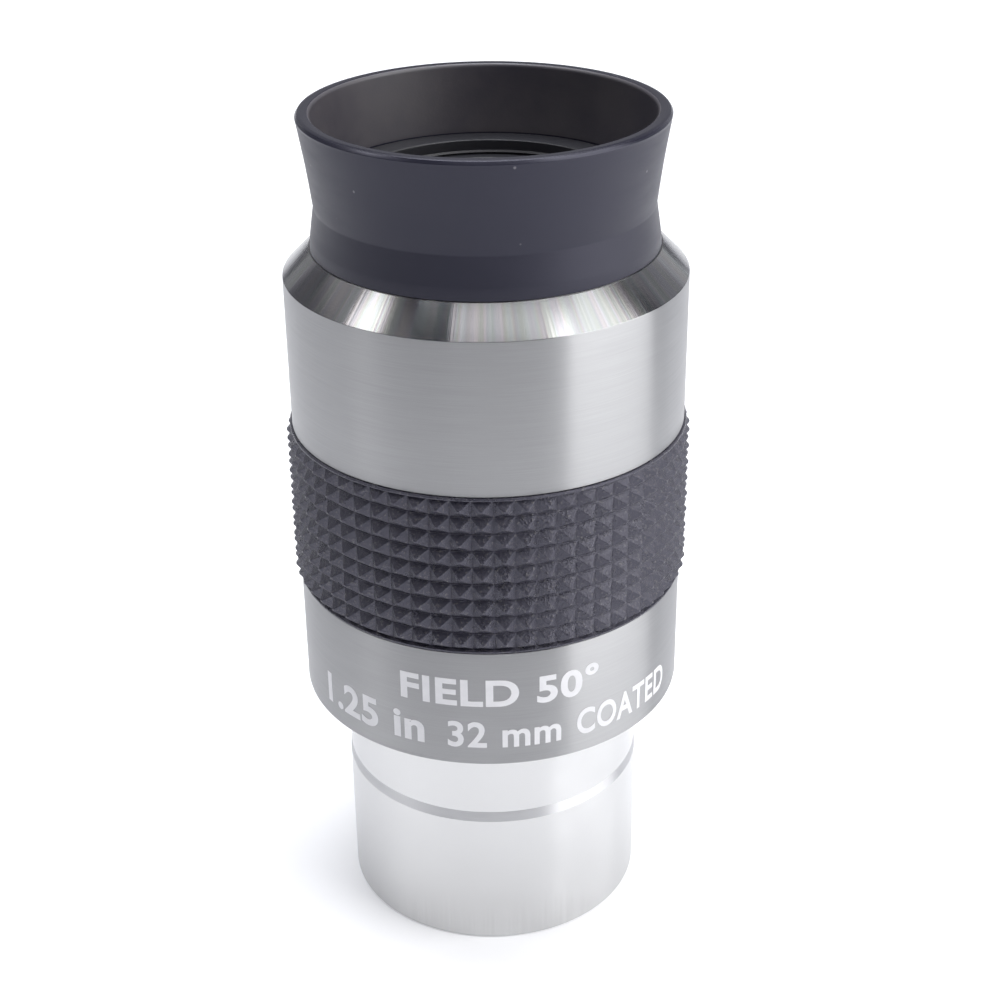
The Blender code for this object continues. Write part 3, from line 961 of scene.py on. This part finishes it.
def lens(name, node, upper, lower):
    """upper and lower are (curve, direction). The box's ends fix the face centres."""
    _, low, high = node_size(node)
    upper_z = high if upper[1] > 0 else high - fall(upper[0], lens_radius)
    lower_z = low if lower[1] < 0 else low + fall(lower[0], lens_radius)
    outline = face_arc(upper[0], upper_z, upper[1])
    outline += list(reversed(face_arc(lower[0], lower_z, lower[1])))
    piece = turned(name, outline, lens_glass, 120)
    settle(piece, "optics", "coated_glass", node)


lens("eye_flint", "eye_lens_flint", (outer_curve, 1), (cement_curve, 1))
lens("eye_crown", "eye_lens_crown", (cement_curve, 1), (inner_curve, -1))
lens("field_crown", "field_lens_crown", (inner_curve, 1), (cement_curve, -1))
lens("field_flint", "field_lens_flint", (cement_curve, -1), (outer_curve, -1))

# %% [markdown]
# ## The eyecup
#
# The eyecup is one thin rubber moulding. A bead on its foot grips the cell's neck, and
# its flared wall folds down for people who wear glasses. The model splits it at the
# fold so that the wall can move.

# %% Draw the eyecup's outline
wall_steps = 16
wall_bow = 0.08 * mm


def wall_line(start, end, bow):
    """Points from start to end, bowed sideways by a shallow arc."""
    points = []
    for step in range(1, wall_steps):
        share = step / wall_steps
        radius = start[0] + (end[0] - start[0]) * share + bow * sin(pi * share)
        points.append((radius, start[1] + (end[1] - start[1]) * share, 0))
    return points


foot_z = housing_top + hairline
foot_bore = shoulder_radius + hairline
crease_z = skirt_z - 1.9 * mm
fold_bore = flange_radius + 0.3 * mm
bead_radius = neck_groove + hairline
bead_z = shoulder_top + hairline
bead_top = cell_top - 1.9 * mm
outer_crease = (rim_radius - 1.22 * mm, crease_z)
outer_rim = (rim_radius + 0.04 * mm, rim_top - 0.38 * mm)
inner_rim = (rim_radius - 1.35 * mm, rim_top - 0.02 * mm)
inner_fold = (fold_bore, skirt_z + 0.15 * mm)
collar_side = [(foot_bore, foot_z, 0), (collar_radius - 0.12 * mm, foot_z, 0.05 * mm),
               (collar_radius - 0.24 * mm, foot_z + 1.2 * mm, 0.8 * mm)]
rim_side = [(*outer_rim, 0.12 * mm), (rim_radius - 0.18 * mm, rim_top - 0.08 * mm, 0.12 * mm),
            (rim_radius - 0.45 * mm, rim_top, 0.2 * mm), (*inner_rim, 0.36 * mm)]
foot_side = [(*inner_fold, 0), (fold_bore, bead_top, 0), (bead_radius, bead_top, 0),
             (bead_radius, bead_z, 0), (foot_bore, bead_z, 0)]
eyecup_outline = filleted(
    collar_side + [(*outer_crease, 0.8 * mm)] + wall_line(outer_crease, outer_rim, -wall_bow)
    + rim_side + wall_line(inner_rim, inner_fold, wall_bow) + foot_side)
print("eyecup outline with", len(eyecup_outline), "points")

# %% Turn the eyecup and give its inner wall a finish of its own
eyecup = turned("eyecup", eyecup_outline, eyecup_rubber)
# Inward faces above the cell take the paler finish, painted light for the inside of the cup.
eyecup.data.materials.append(inside_rubber_painted_light)
for face in eyecup.data.polygons:
    looks_inwards = face.center.xy.dot(face.normal.xy) < -0.5 * face.center.xy.length
    if looks_inwards and face.center.z > cell_top:
        face.material_index = 1
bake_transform(eyecup)
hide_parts("eyecup_collar", "eyecup_skirt")

# %% [markdown]
# ## The markings
#
# The lower shell carries its size and field of view in a plain bold typeface. Text
# objects set the type, and their Offset fattens the strokes. Then a tree subdivides
# the sheet of letters so that it can bend, and Set Position rolls it round the shell:
# the distance along the line of text becomes an angle.

# %% Build the tree that rolls letters round a cylinder
def build_roll():
    tree, given = new_tree("roll", [("Radius", "Float"), ("Height", "Float"),
                                    ("Finish", "Material")])
    fine = wire(tree, "GeometryNodeSubdivideMesh", {"Mesh": given["Geometry"], "Level": 2})
    axes = separate(tree, wire(tree, "GeometryNodeInputPosition").outputs[0])
    angle = calculate(tree, "DIVIDE", axes["X"], given["Radius"])
    reach = calculate(tree, "ADD", given["Radius"], axes["Z"])
    x = calculate(tree, "MULTIPLY", reach, calculate(tree, "SINE", angle))
    y = calculate(tree, "MULTIPLY", reach, calculate(tree, "COSINE", angle))
    front = calculate(tree, "MULTIPLY", y, -1.0)
    z = calculate(tree, "ADD", axes["Y"], given["Height"])
    moved = wire(tree, "GeometryNodeSetPosition",
                 {"Geometry": fine.outputs[0], "Position": combine(tree, x, front, z)})
    finish_tree(tree, moved.outputs[0], given["Finish"])
    return tree


roll = build_roll()


# %% Set the type
def type_sheet(text, capital_height, boldness):
    """A thin mesh of bold letters, lying flat on X and Y."""
    capital_share = 0.70
    setting = bpy.data.curves.new("type", "FONT")
    setting.body = text
    setting.align_x = "CENTER"
    setting.size = capital_height / capital_share
    setting.offset = boldness
    setting.extrude = 0.02 * mm
    setting.space_character = 1.06
    setting.resolution_u = 6
    letters = add_object("type", setting)
    sheet = plain_mesh(letters)
    bpy.data.objects.remove(letters)
    return sheet


def fit_sheet(sheet, wanted):
    """Join the letters' loose edges, centre the sheet and stretch it to a width."""
    shape = bmesh.new()
    shape.from_mesh(sheet)
    bmesh.ops.remove_doubles(shape, verts=shape.verts, dist=0.0005 * mm)
    left = min(v.co.x for v in shape.verts)
    right = max(v.co.x for v in shape.verts)
    bmesh.ops.translate(shape, vec=(-(left + right) / 2, 0, 0), verts=shape.verts)
    bmesh.ops.scale(shape, vec=(wanted / (right - left), 1, 1), verts=shape.verts)
    shape.to_mesh(sheet)
    shape.free()
    print("width, mm:", round((right - left) / mm, 1), "stretched to", round(wanted / mm, 1))


# %% Write the markings
def mark(name, text, capital_height, boldness, base_z, start, end):
    """Write text round the lower shell between two angles. The front is at 0 degrees."""
    sheet = type_sheet(text, capital_height, boldness)
    fit_sheet(sheet, radians(end - start) * housing_radius)
    piece = run_tree(roll, sheet, name, {"Radius": housing_radius, "Height": base_z,
                                         "Finish": ink})
    piece.data.transform(Matrix.Rotation(radians((start + end) / 2), 4, "Z"))
    face_out(piece, 30)
    settle(piece, "optics", "brushed_steel")
    print(name, len(piece.data.polygons), "faces")


line_1 = shoulder_z + 7.1 * mm
line_2 = shoulder_z + 2.2 * mm
mark("marking_field", "FIELD 50°", 2.9 * mm, 0.12 * mm, line_1, -27, 32)
mark("marking_barrel", "1.25 in", 3.3 * mm, 0.15 * mm, line_2, -58, -20)
mark("marking_focal_length", "32 mm", 2.9 * mm, 0.09 * mm, line_2, -13, 20)
mark("marking_coating", "COATED", 2.9 * mm, 0.10 * mm, line_2, 25, 63)

# %% [markdown]
# ## The floor
#
# The eyepiece stands on pale paper that runs out of view on all sides. Lamps can't
# light so wide a sheet evenly, so the paper glows faintly like a light table, and more
# strongly further out. The steel then has a bright ground to reflect.

# %% Lay the floor
def pale_floor():
    shape = bmesh.new()
    bmesh.ops.create_grid(shape, x_segments=1, y_segments=1, size=3.0)
    mesh = bpy.data.meshes.new("floor")
    shape.to_mesh(mesh)
    shape.free()
    finish, tree, shader = new_finish("floor_paper")
    place = object_place(tree)
    fibre = noise(tree, place, 60.0, 3.0)
    distance = wire(tree, "ShaderNodeVectorMath", {0: place}, operation="LENGTH")
    fill(tree, shader, {
        "Base Color": tint(tree, fibre, (0.90, 0.90, 0.90), (0.93, 0.93, 0.93)),
        "Roughness": 0.9,
        "Emission Color": (0.92, 0.94, 1.0, 1.0),
        "Emission Strength": spread(tree, distance.outputs["Value"], 0.22, 0.95, 0.45, 1.3)})
    mesh.materials.append(finish)
    floor = add_object("floor", mesh)
    return floor


print("laid", pale_floor().name)

# %% [markdown]
# ## The room
#
# The room is dim, so that the lamps decide what the metal shows. Only the camera sees
# a pale backdrop in its place: Light Path tells a camera ray from a reflected one.

# %% Paint the room
world = bpy.data.worlds.new("studio")
world.use_nodes = True
room_tree = world.node_tree
room = fill(room_tree, room_tree.nodes["Background"], {"Color": (0.056, 0.056, 0.076, 1)})
backdrop = wire(room_tree, "ShaderNodeBackground", {"Color": (0.95, 0.95, 0.97, 1)})
seen = wire(room_tree, "ShaderNodeLightPath").outputs["Is Camera Ray"]
wall = wire(room_tree, "ShaderNodeMixShader",
            {0: seen, 1: room.outputs[0], 2: backdrop.outputs[0]})
fill(room_tree, room_tree.nodes["World Output"], {"Surface": wall.outputs[0]})
bpy.context.scene.world = world
print("painted", world.name)

# %% [markdown]
# ## The lamps
#
# Polished metal shows what surrounds it, so soft boxes are placed for their
# reflections as much as for their light. A tall box to the right draws the bright
# stripe down the body, and a small one to the left the glint on the bevel. Boxes
# overhead light the bevel and the rim, and weak ones fill in the dark sides.

# %% Make a soft box
def soft_box(name, place, facing, width, height, brightness, colour):
    """A glowing panel. Its light leaves in the direction that facing gives."""
    data = bpy.data.lights.new(name, "AREA")
    data.shape = "RECTANGLE"
    data.size = width
    data.size_y = height
    data.energy = brightness * pi * width * height
    data.color = colour
    lamp = add_object(name, data)
    lamp.location = place
    lamp.rotation_euler = Vector(facing).to_track_quat("-Z", "Y").to_euler()


def beside(direction, distance, height):
    """A place round the eyepiece. Direction 0 is the front and 90 the right."""
    angle = radians(direction)
    return Vector((sin(angle) * distance, -cos(angle) * distance, height))


# %% Hang the lamps
white = (1.0, 1.0, 1.0)
cool = (0.93, 0.95, 1.0)
down = (0, 0, -1)
lamps = [
    ("right_box", beside(71.5, 0.7, 0.62), -beside(71.5, 1, 0), 0.73, 1.2, 3.4, white),
    ("left_box", beside(-87, 0.48, 0.54), -beside(-87, 1, 1), 0.19, 0.17, 4.8, white),
    ("left_fill", beside(-115, 0.7, 0.35), -beside(-115, 1, 0), 0.90, 0.70, 0.15, cool),
    ("left_glow", beside(-95, 0.53, 0.61), -beside(-95, 1, 1), 0.87, 0.38, 0.45, white),
    ("right_fill", beside(132, 0.7, 0.35), -beside(132, 1, 0), 0.45, 0.70, 0.38, cool),
    ("front_box", (0.17, -0.28, 0.75), down, 0.70, 0.17, 2.7, white),
    ("brow_box", (0.05, -0.42, 0.52), (-0.05, 0.42, -0.43), 0.50, 0.24, 0.35, white),
    ("top_box", (0, 0.10, 0.6), down, 0.40, 0.26, 7.6, cool),
    ("back_wall", beside(180, 0.9, 0.45), -beside(180, 1, 0), 1.6, 0.6, 0.28, white),
    ("back_box", (0, 0.55, 0.9), down, 1.3, 0.45, 1.6, white),
]
for lamp_values in lamps:
    soft_box(*lamp_values)
print("hung", len(lamps), "lamps")

# %% [markdown]
# ## The camera
#
# The eyepiece is seen from a little above, close enough for strong perspective: the
# rim looks wider than the barrel, though both are round about the same axis. The
# camera's axes are built from its pitch and yaw, then turned a little about its view.

# %% Place the camera
camera_data = bpy.data.cameras.new("camera")
camera_data.lens = 65.63
camera_data.sensor_width = 36.0
camera_data.clip_start = 0.01
camera_data.clip_end = 20.0
camera = add_object("camera", camera_data)

camera_place = Vector((0, -170.27 * mm, 132.99 * mm))
pitch = 0.4757
yaw = 0.0065
lean = -0.0115
forward = Vector((sin(yaw) * cos(pitch), cos(yaw) * cos(pitch), -sin(pitch)))
right = forward.cross(Vector((0, 0, 1))).normalized()
up = right.cross(forward)
side = right * cos(lean) + up * sin(lean)
top = up * cos(lean) - right * sin(lean)
camera_axes = Matrix((side, top, -forward)).transposed().to_4x4()
camera.matrix_world = Matrix.Translation(camera_place) @ camera_axes
bpy.context.scene.camera = camera
bpy.context.scene.view_settings.view_transform = "Standard"
print("camera at, mm:", [round(c / mm, 1) for c in camera_place])
